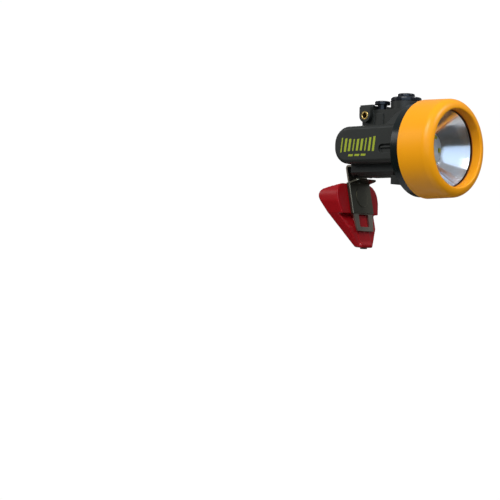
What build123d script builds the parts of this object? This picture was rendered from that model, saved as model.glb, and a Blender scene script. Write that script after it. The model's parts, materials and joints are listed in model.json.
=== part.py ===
from build123d import *
from math import sqrt
import os

# Miner's cordless cap lamp on its helmet bracket. Units are millimetres, +Z is up and the
# beam points along -Y. The origin is the centre of the bracket's helmet-side face.
# Lengths below are in the lamp head's own coordinates: y is measured rearwards from the
# joint between bezel and drum, z upwards from the optical axis.

os.makedirs("parts", exist_ok=True)

# ---------------------------------------------------------------- driving dimensions
head_y = -65.0          # bezel-to-drum joint, ahead of the helmet-side face
axis_z = 46.0           # optical axis, above the centre of that face
sheet = 1.2             # stainless sheet of the hook
wall = 2.0              # moulded wall of the housing

# bezel, lens and reflector
bezel_r = 32.6
bezel_front_r = 32.1
bezel_len = 26.0
bezel_rear = -1.2       # a fine joint line is left in front of the drum
bezel_mouth_r = 25.4
bezel_bore_r = 29.8
lip_round = 0.9
bezel_round = bezel_front_r - bezel_mouth_r - lip_round
lens_r = 27.1
lens_front = -19.0
lens_t = 2.0
gasket_r = 25.2
gasket_t = 0.5
lock_screw_y = -8.4
lock_screw_r = 1.0
reflector_mouth_r = 25.0
reflector_base_r = 12.0
reflector_base_y = -3.0
reflector_t = 1.2
flange_r = 28.8
flange_t = 1.2

# light engine behind the reflector
led_board_y = -2.9
led_board_r = 13.6
led_board_t = 1.6
sink_w = 33.0
sink_h = 19.4
sink_t = 9.2
die_ring_r = 9.6
die_count = 6

# drum and body
drum_r = 31.5
drum_front = -1.0
drum_len = 6.0
spigot_r = 29.5
spigot_in_r = 27.6
spigot_front = -15.7    # the reflector's flange is held between it and the lens
groove_y = -4.6
groove_w = 1.9
groove_depth = 1.3
seal_ring_r = 0.75
body_half_w = 20.0
body_top = 16.0
body_bottom = -9.2
body_rear = 63.0
nose_r = 11.5
body_edge_r = 2.6
shoulder_rear = 19.5
shoulder_rear_r = 24.7

# switch tower on top of the body
tower_half_w = 11.0
tower_front = 8.0
tower_rear = 46.5
deck_top = 26.8
block_front = 37.6
block_top = 29.1
plate_top = 30.6
boss_r = 10.0
well_r = 8.0
well_floor = 24.5
main_y = 17.6
main_cap_r = 5.85
main_cap_top = 37.7
collar_r = 10.4
collar_bottom = 32.6
collar_top = 35.1
aux_x = -4.5
aux_y = 34.0
aux_disc_r = 5.35
aux_stem_r = 3.2
aux_disc_bottom = 30.9
aux_disc_top = 33.2
plunger_end_z = 21.6
aux_flange_z = 23.2
running_gap = 0.08
board_z = 15.0
board_t = 1.5
floor_t = 1.5

# charging contacts on the sides of the tower
contact_y = 41.0
contact_z = 23.3
contact_face = 14.5
contact_boss_r = 4.6
bush_r = 2.9
bush_bore_r = 1.8

# battery cover with its rail
rail_half_w = 12.0
rail_bottom = -17.3
rail_front = 6.3
rail_rear = 54.0
rail_chamfer = 2.6
lid_half_w = 16.0
lid_front = 8.5
lid_rear = 53.5
lid_t = 1.2
bay_half_w = 14.2
bay_front = 14.5
bay_rear = 47.6
cell_t = 9.6
cell_len = 30.0
cell_front = 17.2
cover_screw_x = 8.0
cover_screw_ys = (11.5, 50.8)
hook_screw_ys = (36.0, 45.0)
foot_front = 31.0

# hook strip hanging behind the rail
hook_lean = 0.225       # rearward shift of the strip for each millimetre upwards
hook_y0 = 56.8          # front face of the strip at height hook_z0
hook_z0 = -20.2
hook_half_w = 10.0
hook_tip_half_w = 8.4
hook_taper_z = -43.0
hook_tip_z = -54.0
window_half_w = 5.0
window_top_z = -42.6
window_bottom_z = -51.2

# keeper sleeve and helmet bracket
sleeve_t = 0.7
sleeve_gap = 0.25       # clearance of the strip inside the sleeve, each way
sleeve_top_z = -21.0
sleeve_bottom_z = -42.0
lip_reach = 8.0
back_slope = 0.656      # rearward shift of the helmet-side face for each millimetre upwards
bracket_top_z = -27.2
bracket_tip_z = -65.4
bracket_crest_z = -21.5
shield_half_w = 21.5
shield_waist_z = -34.0   # the shield narrows below this height
shield_bottom_z = -42.5
shield_bottom_half_w = 19.0
band_knee_z = -52.0
band_t = 8.0
tip_half_w = 7.8
shield_round = 5.0
shield_corner_r = 9.0
tip_round = 2.2
sleeve_oval = (5.6, 7.0)
sleeve_oval_h = 0.4
tongue_half_w = 6.15
tongue_top_z = -43.0
tongue_lip_z = -63.4
insert_r = 2.8
insert_bore_r = 1.65
insert_len = 6.0
insert_pitch = 26.0
rivet_r = 1.4
rivet_len = 7.0
rivet_zs = (-27.0, -36.0)

optical_axis = Axis((0, head_y, axis_z), (0, 1, 0))
bulkhead_y = drum_len - wall
mid_z = (body_top + body_bottom) / 2
lean_len = sqrt(1 + hook_lean**2)
back_len = sqrt(1 + back_slope**2)


def side_plane(x=0.0):
    """Plane across the lamp: sketch x runs rearwards, sketch y upwards."""
    return Plane(origin=(x, head_y, axis_z), x_dir=(0, 1, 0), z_dir=(1, 0, 0))


def front_plane(y):
    """Plane facing forwards at depth y: sketch x is X, sketch y is up."""
    return Plane(origin=(0, head_y + y, axis_z), x_dir=(1, 0, 0), z_dir=(0, -1, 0))


def level_plane(z):
    """Level plane at height z: sketch x is X, sketch y runs rearwards."""
    return Plane(origin=(0, head_y, axis_z + z), x_dir=(1, 0, 0), z_dir=(0, 0, 1))


def strip_plane(ahead=0.0):
    """Plane of the hook strip's front face, moved ahead of it; sketch y runs up the strip."""
    normal = Vector(0, -1 / lean_len, hook_lean / lean_len)
    face_point = Vector(0, head_y + hook_y0, axis_z + hook_z0)
    return Plane(origin=face_point + normal * ahead, x_dir=(1, 0, 0), z_dir=normal)


def back_plane():
    """Plane of the bracket's helmet-side face, normal towards the helmet, sketch y downwards."""
    return Plane(origin=(0, 0, 0), x_dir=(1, 0, 0), z_dir=(0, 1 / back_len, -back_slope / back_len))


def strip_y(z, behind=0.0):
    """Depth of the strip's front face at height z, or of a parallel face behind it."""
    return hook_y0 + hook_lean * (z - hook_z0) + behind * lean_len


def strip_s(z):
    """Height z as a distance along the strip."""
    return (z - hook_z0) * lean_len


def back_y(z):
    """Depth of the helmet-side face at height z."""
    return -head_y + back_slope * (z + axis_z)


def reflector_r(y, grow=0.0):
    """Radius of the parabolic bowl at depth y, or of a surface outside it by grow."""
    span = reflector_mouth_r**2 - reflector_base_r**2
    share = (reflector_base_y - y) / (reflector_base_y - (lens_front + lens_t))
    return sqrt(reflector_base_r**2 + span * share) + grow


# ---------------------------------------------------------------- housing: drum, body, tower
with BuildPart() as body_block:
    # Battery body: a slab with a D-shaped rear end and rounded side edges.
    with BuildSketch(side_plane(-body_half_w)):
        with BuildLine():
            Polyline(
                (3.0, body_bottom), (body_rear, body_bottom),
                (body_rear, body_top), (3.0, body_top), close=True,
            )
        make_face()
        fillet(vertices().group_by(Axis.X)[-1], radius=nose_r)
    extrude(amount=2 * body_half_w)
    side_edges = body_block.faces().filter_by(Axis.X).edges()
    fillet(side_edges.filter_by(lambda edge: edge.center().Y > head_y + 3.1), radius=body_edge_r)

with BuildPart() as shoulder:
    # Conical fairing from the drum down to the body's top, as wide as the body.
    with BuildSketch(side_plane()):
        with BuildLine():
            Polyline(
                (drum_len - 1, 0), (drum_len - 1, drum_r - 0.5), (drum_len + 1.5, drum_r - 0.9),
                (shoulder_rear, shoulder_rear_r), (shoulder_rear, 0), close=True,
            )
        make_face()
    revolve(axis=optical_axis)
    with BuildSketch(front_plane(drum_len - 2)):
        with BuildLine():
            Polyline(
                (-body_half_w + 0.6, 0), (body_half_w - 0.6, 0), (body_half_w - 0.6, body_top),
                (tower_half_w + 2, drum_r + 1), (-tower_half_w - 2, drum_r + 1),
                (-body_half_w + 0.6, body_top), close=True,
            )
        make_face()
    extrude(amount=-shoulder_rear, mode=Mode.INTERSECT)

with BuildPart() as housing:
    # Drum with its rear bulkhead, and the threaded spigot that carries the bezel.
    with BuildSketch(side_plane()):
        with BuildLine():
            Polyline(
                (spigot_front, 0), (spigot_front, spigot_r), (drum_front, spigot_r),
                (drum_front, drum_r - 0.3), (drum_front + 0.3, drum_r), (drum_len - 1.2, drum_r),
                (drum_len, drum_r - 1.2), (drum_len, 0), close=True,
            )
        make_face()
    revolve(axis=optical_axis)
    add(body_block.part)
    add(shoulder.part)
    # Switch tower: a deck at the front, a taller block with a cover plate at the rear.
    with BuildSketch(level_plane(body_top - 4)):
        with Locations((0, (tower_front + tower_rear) / 2)):
            RectangleRounded(2 * tower_half_w, tower_rear - tower_front, 1.5)
    extrude(amount=deck_top - body_top + 4)
    with BuildSketch(level_plane(deck_top - 1)):
        with Locations((0, (block_front + tower_rear) / 2)):
            Rectangle(2 * tower_half_w, tower_rear - block_front)
    extrude(amount=block_top - deck_top + 1)
    with BuildSketch(level_plane(block_top)):
        with Locations((0, (block_front - 1.6 + tower_rear + 1.0) / 2)):
            RectangleRounded(2 * tower_half_w + 2, tower_rear - block_front + 2.6, 1.0)
    extrude(amount=plate_top - block_top)
    # Round boss under the main switch.
    with BuildSketch(level_plane(body_top - 4)):
        with Locations((0, main_y)):
            Circle(boss_r)
    extrude(amount=collar_bottom - body_top + 4)
    # Proud pads and slim ribs on the tower walls.
    for side in (-1, 1):
        with BuildSketch(level_plane(body_top - 1)):
            with Locations((side * tower_half_w, 30.6)):
                Rectangle(1.2, 6.4)
            with Locations((side * tower_half_w, 35.6)):
                Rectangle(0.9, 0.9)
        extrude(amount=deck_top - body_top - 1.5)
    # Bosses that carry the charging contacts, one on each side.
    for side in (-1, 1):
        with BuildSketch(side_plane(side * (tower_half_w - 1))):
            with Locations((contact_y, contact_z)):
                Circle(contact_boss_r)
            with Locations((contact_y, (contact_z + block_top) / 2)):
                Rectangle(2 * contact_boss_r, block_top - contact_z)
        extrude(amount=side * (contact_face - tower_half_w + 1))
    # Chin block under the rail, behind the drum.
    with BuildSketch(side_plane(-rail_half_w)):
        with Locations((drum_len + 6.2, -20.3)):
            Rectangle(14.0, 5.8)
    extrude(amount=2 * rail_half_w)

    # Hollow of the body, with the battery bay open through the floor.
    with BuildSketch(side_plane(-body_half_w + wall + 0.4)):
        with BuildLine():
            Polyline(
                (bulkhead_y - 0.1, body_bottom + wall), (body_rear - wall, body_bottom + wall),
                (body_rear - wall, body_top - wall), (bulkhead_y - 0.1, body_top - wall), close=True,
            )
        make_face()
        fillet(vertices().group_by(Axis.X)[-1], radius=nose_r - wall)
    extrude(amount=2 * (body_half_w - wall - 0.4), mode=Mode.SUBTRACT)
    with BuildSketch(level_plane(body_bottom - 1)):
        with Locations((0, (bay_front + bay_rear) / 2)):
            Rectangle(2 * bay_half_w, bay_rear - bay_front)
    extrude(amount=wall + 2, mode=Mode.SUBTRACT)
    with BuildSketch(level_plane(body_bottom - 0.1)):
        with Locations((0, (lid_front + lid_rear) / 2)):
            Rectangle(2 * lid_half_w + 0.4, lid_rear - lid_front + 0.4)
    extrude(amount=lid_t + 0.1, mode=Mode.SUBTRACT)
    # Round hollow for reflector and light board, in front of the bulkhead.
    with BuildSketch(side_plane()):
        with BuildLine():
            Polyline(
                (spigot_front - 1, 0), (spigot_front - 1, spigot_in_r),
                (bulkhead_y, spigot_in_r), (bulkhead_y, 0), close=True,
            )
        make_face()
    revolve(axis=optical_axis, mode=Mode.SUBTRACT)
    # Hollow of the tower, below the deck and below the cover plate.
    with BuildSketch(level_plane(body_top - wall - 0.1)):
        with Locations((0, (11.0 + tower_rear - wall) / 2)):
            Rectangle(2 * (tower_half_w - wall), tower_rear - wall - 11.0)
    extrude(amount=well_floor - floor_t - body_top + wall + 0.1, mode=Mode.SUBTRACT)
    # Well of the main switch, with a floor that guides the plunger.
    with Locations(Plane(origin=(0, head_y + main_y, axis_z + collar_bottom))):
        Hole(radius=well_r, depth=collar_bottom - well_floor)
        Hole(radius=2.0 + running_gap, depth=collar_bottom - well_floor + floor_t + 0.5)
    # Guide hole of the small switch, its inner chamber, and a relief in the plate above.
    with BuildSketch(level_plane(body_top)):
        with Locations((aux_x, aux_y)):
            Circle(5.2)
    extrude(amount=deck_top - wall - body_top, mode=Mode.SUBTRACT)
    with BuildSketch(level_plane(body_top)):
        with Locations((aux_x, aux_y)):
            Circle(aux_stem_r + running_gap)
    extrude(amount=deck_top - body_top + 1, mode=Mode.SUBTRACT)
    with BuildSketch(level_plane(deck_top)):
        with Locations((aux_x, aux_y)):
            Circle(aux_disc_r + 0.5)
    extrude(amount=plate_top - deck_top + 1, mode=Mode.SUBTRACT)
    # Blind holes for the charging bushes.
    for side in (-1, 1):
        with BuildSketch(side_plane(side * (contact_face + 1))):
            with Locations((contact_y, contact_z)):
                Circle(bush_r)
        extrude(amount=-side * (contact_face + 1 - tower_half_w + wall - 0.6), mode=Mode.SUBTRACT)
    # Finger recess on each side of the body, beside the drum.
    for side in (-1, 1):
        with BuildSketch(side_plane(side * (body_half_w + 1))):
            with Locations((17.2, 0)):
                SlotOverall(13.6, 5.8)
        extrude(amount=-side * 2.6, mode=Mode.SUBTRACT)
        with BuildSketch(side_plane(side * (body_half_w - 0.4))):
            with Locations((17.4, 0.9)):
                Rectangle(11.0, 1.0)
        extrude(amount=-side * 1.3)
    # Screw pillars for the battery cover.
    with BuildSketch(level_plane(body_bottom + lid_t)):
        for screw_y in cover_screw_ys:
            with Locations((-cover_screw_x, screw_y), (cover_screw_x, screw_y)):
                Circle(2.6)
    extrude(amount=8.0)
    with BuildSketch(level_plane(body_bottom + lid_t - 0.5)):
        for screw_y in cover_screw_ys:
            with Locations((-cover_screw_x, screw_y), (cover_screw_x, screw_y)):
                Circle(1.25)
    extrude(amount=7.0, mode=Mode.SUBTRACT)
    # Groove of the sealing ring and tapped hole of the bezel's lock screw.
    with BuildSketch(side_plane()):
        with Locations((groove_y, spigot_r)):
            Rectangle(groove_w, 2 * groove_depth)
    revolve(axis=optical_axis, mode=Mode.SUBTRACT)
    with BuildSketch(level_plane(spigot_in_r - 1)):
        with Locations((0, lock_screw_y)):
            Circle(lock_screw_r)
    extrude(amount=4, mode=Mode.SUBTRACT)
housing.part.label = "housing"
export_step(housing.part, "parts/housing.step")

# ---------------------------------------------------------------- bezel, lens, reflector
with BuildPart() as bezel_ring:
    with BuildSketch(side_plane()):
        with BuildLine():
            Polyline(
                (-bezel_len + lip_round, bezel_mouth_r), (lens_front - gasket_t, bezel_mouth_r),
                (lens_front - gasket_t, lens_r + 0.3), (lens_front + lens_t, lens_r + 0.3),
                (lens_front + lens_t, bezel_bore_r), (bezel_rear, bezel_bore_r),
                (bezel_rear, bezel_r - 0.5), (bezel_rear - 0.5, bezel_r), (-bezel_len + bezel_round, bezel_front_r),
            )
            RadiusArc(
                (-bezel_len + bezel_round, bezel_front_r),
                (-bezel_len, bezel_front_r - bezel_round), -bezel_round,
            )
            RadiusArc(
                (-bezel_len, bezel_mouth_r + lip_round),
                (-bezel_len + lip_round, bezel_mouth_r), -lip_round,
            )
        make_face()
    revolve(axis=optical_axis)
    with BuildSketch(level_plane(spigot_in_r)):
        with Locations((0, lock_screw_y)):
            Circle(lock_screw_r + 0.05)
    extrude(amount=8, mode=Mode.SUBTRACT)
bezel_ring.part.label = "bezel_ring"
export_step(bezel_ring.part, "parts/bezel_ring.step")

with BuildPart() as bezel_lock_screw:
    with BuildSketch(level_plane(spigot_in_r + 0.2)):
        with Locations((0, lock_screw_y)):
            Circle(lock_screw_r - 0.03)
    extrude(amount=4.4)
    with BuildSketch(level_plane(spigot_in_r + 3.8)):
        with Locations((0, lock_screw_y)):
            RegularPolygon(0.55, 6)
    extrude(amount=1, mode=Mode.SUBTRACT)
bezel_lock_screw.part.label = "bezel_lock_screw"
export_step(bezel_lock_screw.part, "parts/bezel_lock_screw.step")

with BuildPart() as bezel_o_ring:
    with BuildSketch(side_plane()):
        with Locations((groove_y, spigot_r - 0.55)):
            Circle(seal_ring_r)
    revolve(axis=optical_axis)
bezel_o_ring.part.label = "bezel_o_ring"
export_step(bezel_o_ring.part, "parts/bezel_o_ring.step")

with BuildPart() as lens_gasket:
    with BuildSketch(side_plane()):
        with Locations((lens_front - gasket_t / 2, (gasket_r + lens_r) / 2)):
            Rectangle(gasket_t, lens_r - gasket_r)
    revolve(axis=optical_axis)
lens_gasket.part.label = "lens_gasket"
export_step(lens_gasket.part, "parts/lens_gasket.step")

with BuildPart() as lens:
    with BuildSketch(front_plane(lens_front + lens_t)):
        Circle(lens_r)
    extrude(amount=lens_t)
    chamfer(lens.edges().filter_by(GeomType.CIRCLE).sort_by(Axis.Y)[0], length=0.3)
lens.part.label = "lens"
export_step(lens.part, "parts/lens.step")

with BuildPart() as reflector:
    # Thin parabolic bowl with a seating flange and an open base for the light board.
    bowl_depths = [lens_front + lens_t + step * 0.25 * (reflector_base_y - lens_front - lens_t)
                   for step in range(5)]
    with BuildSketch(side_plane()):
        with BuildLine():
            Spline([(y, reflector_r(y)) for y in bowl_depths])
            Line((reflector_base_y, reflector_base_r), (reflector_base_y, reflector_base_r + reflector_t))
            Spline([(y, reflector_r(y, reflector_t)) for y in reversed(bowl_depths)])
            Line(
                (lens_front + lens_t, reflector_mouth_r + reflector_t),
                (lens_front + lens_t, reflector_mouth_r),
            )
        make_face()
    revolve(axis=optical_axis)
    with BuildSketch(side_plane()):
        with Locations((lens_front + lens_t + flange_t / 2, (reflector_mouth_r + 0.6 + flange_r) / 2)):
            Rectangle(flange_t, flange_r - reflector_mouth_r - 0.6)
    revolve(axis=optical_axis)
reflector.part.label = "reflector"
export_step(reflector.part, "parts/reflector.step")

# ---------------------------------------------------------------- light engine
with BuildPart() as led_board:
    with BuildSketch(front_plane(led_board_y + led_board_t)):
        Circle(led_board_r)
        with PolarLocations(led_board_r, 3, start_angle=30):
            Circle(1.3, mode=Mode.SUBTRACT)
    extrude(amount=led_board_t)
led_board.part.label = "led_board"
export_step(led_board.part, "parts/led_board.step")

with BuildPart() as main_led:
    # Square ceramic base under a moulded dome.
    with BuildSketch(front_plane(led_board_y)):
        RectangleRounded(5.0, 5.0, 0.4)
    extrude(amount=0.9)
    with BuildSketch(side_plane()):
        with BuildLine():
            Polyline((led_board_y - 2.9, 0), (led_board_y - 0.8, 0), (led_board_y - 0.8, 2.1))
            RadiusArc((led_board_y - 0.8, 2.1), (led_board_y - 2.9, 0), -2.1)
        make_face()
    revolve(axis=optical_axis)
main_led.part.label = "main_led"
export_step(main_led.part, "parts/main_led.step")

with BuildPart() as aux_leds:
    with BuildSketch(front_plane(led_board_y)):
        with PolarLocations(die_ring_r, die_count):
            RectangleRounded(2.0, 2.8, 0.3)
    extrude(amount=0.8)
aux_leds.part.label = "aux_leds"
export_step(aux_leds.part, "parts/aux_leds.step")

with BuildPart() as heat_sink:
    with BuildSketch(front_plane(led_board_y + led_board_t + sink_t)):
        with Locations((0, mid_z)):
            RectangleRounded(sink_w, sink_h, 2.0)
    extrude(amount=sink_t)
    with BuildSketch(front_plane(led_board_y + led_board_t + sink_t)):
        with Locations((0, mid_z)):
            with GridLocations(4.0, 0, 7, 1):
                Rectangle(2.0, sink_h - 4)
    extrude(amount=2.2, mode=Mode.SUBTRACT)
heat_sink.part.label = "heat_sink"
export_step(heat_sink.part, "parts/heat_sink.step")

with BuildPart() as driver_board:
    with BuildSketch(front_plane(bay_front + 1.2)):
        with Locations((0, mid_z)):
            RectangleRounded(30.0, 17.0, 1.0)
    extrude(amount=1.2)
driver_board.part.label = "driver_board"
export_step(driver_board.part, "parts/driver_board.step")

with BuildPart() as driver_parts:
    # Power inductor, controller and a capacitor on the front of the driver board.
    with BuildSketch(front_plane(bay_front)):
        with Locations((-7.0, mid_z)):
            RectangleRounded(6.0, 6.0, 1.2)
    extrude(amount=2.8)
    with BuildSketch(front_plane(bay_front)):
        with Locations((2.0, mid_z + 2)):
            Rectangle(5.0, 4.0)
        with Locations((9.5, mid_z - 2)):
            Rectangle(3.2, 1.6)
        with Locations((9.5, mid_z + 2)):
            Rectangle(3.2, 1.6)
    extrude(amount=1.4)
driver_parts.part.label = "driver_parts"
export_step(driver_parts.part, "parts/driver_parts.step")

# ---------------------------------------------------------------- battery
for cell_name, cell_z in (("battery_cell_upper", mid_z + cell_t / 2 + 0.2),
                          ("battery_cell_lower", mid_z - cell_t / 2 - 0.2)):
    with BuildPart() as battery_cell:
        with BuildSketch(front_plane(cell_front)):
            with Locations((0, cell_z)):
                RectangleRounded(28.0, cell_t, 2.4)
        extrude(amount=-cell_len)
        with BuildSketch(front_plane(cell_front)):
            for tab_x in (-8.0, 8.0):
                with Locations((tab_x, cell_z)):
                    Rectangle(4.0, 0.4)
        extrude(amount=0.9)
    battery_cell.part.label = cell_name
    export_step(battery_cell.part, f"parts/{cell_name}.step")

with BuildPart() as battery_pad:
    # Foam strip between the cells' rear end and the housing's nose.
    with BuildSketch(level_plane(mid_z - 7)):
        with Locations((0, cell_front + cell_len + 1.0)):
            Rectangle(10.0, 1.6)
    extrude(amount=14.0)
battery_pad.part.label = "battery_pad"
export_step(battery_pad.part, "parts/battery_pad.step")

with BuildPart() as battery_cover:
    # Flat lid let into the body's floor, with the rail below it and a slot for the hook's foot.
    with BuildSketch(level_plane(body_bottom)):
        with Locations((0, (lid_front + lid_rear) / 2)):
            Rectangle(2 * lid_half_w, lid_rear - lid_front)
    extrude(amount=lid_t)
    with BuildSketch(front_plane(rail_rear)):
        with BuildLine():
            Polyline(
                (-rail_half_w, body_bottom), (-rail_half_w, rail_bottom + rail_chamfer),
                (-rail_half_w + rail_chamfer, rail_bottom), (rail_half_w - rail_chamfer, rail_bottom),
                (rail_half_w, rail_bottom + rail_chamfer), (rail_half_w, body_bottom), close=True,
            )
        make_face()
    extrude(amount=rail_rear - rail_front)
    rail_end = battery_cover.faces().filter_by(Axis.Y).sort_by(Axis.Y)[-1]
    fillet(rail_end.edges().filter_by(Axis.Z), radius=0.4)
    with BuildSketch(level_plane(body_bottom - sheet - 0.1)):
        with Locations((0, (foot_front - 0.5 + rail_rear + 1) / 2)):
            Rectangle(2 * hook_half_w + 0.5, rail_rear + 1 - foot_front + 0.5)
    extrude(amount=sheet + 0.1, mode=Mode.SUBTRACT)
    for screw_y in cover_screw_ys:
        with Locations(Plane(origin=(0, head_y + screw_y, axis_z + rail_bottom), z_dir=(0, 0, -1))):
            with Locations((-cover_screw_x, 0), (cover_screw_x, 0)):
                CounterBoreHole(radius=1.35, counter_bore_radius=2.4, counter_bore_depth=4.0)
    for screw_y in hook_screw_ys:
        with Locations(Plane(origin=(0, head_y + screw_y, axis_z + rail_bottom), z_dir=(0, 0, -1))):
            CounterBoreHole(radius=1.5, counter_bore_radius=3.0, counter_bore_depth=3.2)
battery_cover.part.label = "battery_cover"
export_step(battery_cover.part, "parts/battery_cover.step")

with BuildPart() as cover_seal:
    with BuildSketch(level_plane(body_bottom + lid_t)):
        with Locations((0, (bay_front + bay_rear) / 2)):
            Rectangle(2 * bay_half_w - 0.2, bay_rear - bay_front - 0.2)
            Rectangle(2 * bay_half_w - 2.2, bay_rear - bay_front - 2.2, mode=Mode.SUBTRACT)
    extrude(amount=0.7)
cover_seal.part.label = "cover_seal"
export_step(cover_seal.part, "parts/cover_seal.step")

with BuildPart() as cover_screws:
    with BuildSketch(level_plane(rail_bottom + 1.9)):
        for screw_y in cover_screw_ys:
            with Locations((-cover_screw_x, screw_y), (cover_screw_x, screw_y)):
                Circle(2.2)
    extrude(amount=2.1)
    with BuildSketch(level_plane(rail_bottom + 4.0)):
        for screw_y in cover_screw_ys:
            with Locations((-cover_screw_x, screw_y), (cover_screw_x, screw_y)):
                Circle(1.2)
    extrude(amount=9.5)
    with BuildSketch(level_plane(rail_bottom + 1.9)):
        for screw_y in cover_screw_ys:
            with Locations((-cover_screw_x, screw_y), (cover_screw_x, screw_y)):
                Rectangle(2.6, 0.55)
                Rectangle(0.55, 2.6)
    extrude(amount=1.0, mode=Mode.SUBTRACT)
cover_screws.part.label = "cover_screws"
export_step(cover_screws.part, "parts/cover_screws.step")

# ---------------------------------------------------------------- hook strip
with BuildPart() as hook_strip:
    # L-shaped sheet: a level foot inside the rail's slot, then the strip leaning forwards.
    foot_under = body_bottom - sheet - 0.05
    foot_over = body_bottom - 0.05
    with BuildSketch(side_plane(-hook_half_w)):
        with BuildLine():
            Polyline(
                (foot_front, foot_under), (strip_y(foot_under), foot_under),
                (strip_y(hook_tip_z), hook_tip_z),
                (strip_y(hook_tip_z) + sheet / lean_len, hook_tip_z - sheet * hook_lean / lean_len),
                (strip_y(foot_over, sheet), foot_over), (foot_front, foot_over), close=True,
            )
        make_face()
        fillet(vertices().sort_by(Axis.X)[-1], radius=2.0)
        fillet(vertices().sort_by_distance((strip_y(foot_under), foot_under))[0], radius=0.8)
    extrude(amount=2 * hook_half_w)
    # Tapered tip with small corner radii, the window and the foot's screw holes.
    with BuildSketch(strip_plane(3)):
        with BuildLine():
            Polyline(
                (-hook_half_w - 2, strip_s(hook_tip_z) - 4), (hook_half_w + 2, strip_s(hook_tip_z) - 4),
                (hook_half_w + 2, strip_s(hook_taper_z)), (-hook_half_w - 2, strip_s(hook_taper_z)),
                close=True,
            )
        make_face()
        with BuildLine():
            Polyline(
                (-hook_tip_half_w, strip_s(hook_tip_z)), (hook_tip_half_w, strip_s(hook_tip_z)),
                (hook_half_w, strip_s(hook_taper_z)), (-hook_half_w, strip_s(hook_taper_z)),
                close=True,
            )
        make_face(mode=Mode.SUBTRACT)
    extrude(amount=-8, mode=Mode.SUBTRACT)
    with BuildSketch(strip_plane(3)):
        with Locations((0, (strip_s(window_top_z) + strip_s(window_bottom_z)) / 2)):
            RectangleRounded(2 * window_half_w, strip_s(window_top_z) - strip_s(window_bottom_z), 0.6)
    extrude(amount=-8, mode=Mode.SUBTRACT)
    with BuildSketch(level_plane(body_bottom - 3)):
        for screw_y in hook_screw_ys:
            with Locations((0, screw_y)):
                Circle(1.6)
        with Locations((-cover_screw_x, cover_screw_ys[1]), (cover_screw_x, cover_screw_ys[1])):
            Circle(1.5)
    extrude(amount=4, mode=Mode.SUBTRACT)
hook_strip.part.label = "hook_strip"
export_step(hook_strip.part, "parts/hook_strip.step")

with BuildPart() as hook_screws:
    with BuildSketch(level_plane(rail_bottom + 0.9)):
        for screw_y in hook_screw_ys:
            with Locations((0, screw_y)):
                Circle(2.8)
    extrude(amount=2.3)
    with BuildSketch(level_plane(rail_bottom + 3.2)):
        for screw_y in hook_screw_ys:
            with Locations((0, screw_y)):
                Circle(1.4)
    extrude(amount=body_bottom - rail_bottom - 3.2 + lid_t)
    with BuildSketch(level_plane(rail_bottom + 0.9)):
        for screw_y in hook_screw_ys:
            with Locations((0, screw_y)):
                Rectangle(3.4, 0.7)
                Rectangle(0.7, 3.4)
    extrude(amount=1.2, mode=Mode.SUBTRACT)
hook_screws.part.label = "hook_screws"
export_step(hook_screws.part, "parts/hook_screws.step")

# ---------------------------------------------------------------- charging contacts
for side_name, side in (("left", -1), ("right", 1)):
    with BuildPart() as charge_bush:
        with BuildSketch(side_plane(side * (contact_face + 0.2))):
            with Locations((contact_y, contact_z)):
                Circle(bush_r)
                Circle(bush_bore_r, mode=Mode.SUBTRACT)
        extrude(amount=-side * 4.6)
        rims = charge_bush.edges().filter_by(GeomType.CIRCLE).group_by(Axis.X)
        chamfer(rims[0] if side < 0 else rims[-1], length=0.25)
    charge_bush.part.label = f"charge_bush_{side_name}"
    export_step(charge_bush.part, f"parts/charge_bush_{side_name}.step")

# ---------------------------------------------------------------- main push switch
with BuildPart() as switch_collar:
    with BuildSketch(level_plane(collar_bottom)):
        with Locations((0, main_y)):
            Circle(collar_r)
            Circle(main_cap_r + running_gap, mode=Mode.SUBTRACT)
    extrude(amount=collar_top - collar_bottom)
    outer_rim = switch_collar.edges().filter_by(GeomType.CIRCLE).group_by(Axis.Z)[-1].sort_by(SortBy.RADIUS)[-1]
    fillet(outer_rim, radius=0.9)
switch_collar.part.label = "switch_collar"
export_step(switch_collar.part, "parts/switch_collar.step")

with BuildPart() as main_button:
    # Cap, retaining flange under the collar, and plunger.
    with BuildSketch(level_plane(collar_bottom - 1.4)):
        with Locations((0, main_y)):
            Circle(main_cap_r)
    extrude(amount=main_cap_top - collar_bottom + 1.4)
    fillet(main_button.edges().group_by(Axis.Z)[-1], radius=0.8)
    with BuildSketch(level_plane(collar_bottom - 1.6)):
        with Locations((0, main_y)):
            Circle(well_r - 0.35)
    extrude(amount=1.3)
    with BuildSketch(level_plane(plunger_end_z)):
        with Locations((0, main_y)):
            Circle(2.0)
    extrude(amount=collar_bottom - 1.6 - plunger_end_z)
main_button.part.label = "main_button"
export_step(main_button.part, "parts/main_button.step")

with BuildPart() as aux_button:
    with BuildSketch(level_plane(aux_disc_bottom)):
        with Locations((aux_x, aux_y)):
            Circle(aux_disc_r)
    extrude(amount=aux_disc_top - aux_disc_bottom)
    fillet(aux_button.edges().group_by(Axis.Z)[-1], radius=0.7)
    with BuildSketch(level_plane(aux_flange_z)):
        with Locations((aux_x, aux_y)):
            Circle(aux_stem_r)
    extrude(amount=aux_disc_bottom - aux_flange_z)
    with BuildSketch(level_plane(aux_flange_z)):
        with Locations((aux_x, aux_y)):
            Circle(4.7)
    extrude(amount=1.2)
    with BuildSketch(level_plane(plunger_end_z)):
        with Locations((aux_x, aux_y)):
            Circle(1.4)
    extrude(amount=1.6)
aux_button.part.label = "aux_button"
export_step(aux_button.part, "parts/aux_button.step")

with BuildPart() as aux_seal:
    with BuildSketch(level_plane(deck_top)):
        with Locations((aux_x, aux_y)):
            Circle(aux_stem_r + 1.5)
            Circle(aux_stem_r + running_gap, mode=Mode.SUBTRACT)
    extrude(amount=0.7)
aux_seal.part.label = "aux_seal"
export_step(aux_seal.part, "parts/aux_seal.step")

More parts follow.
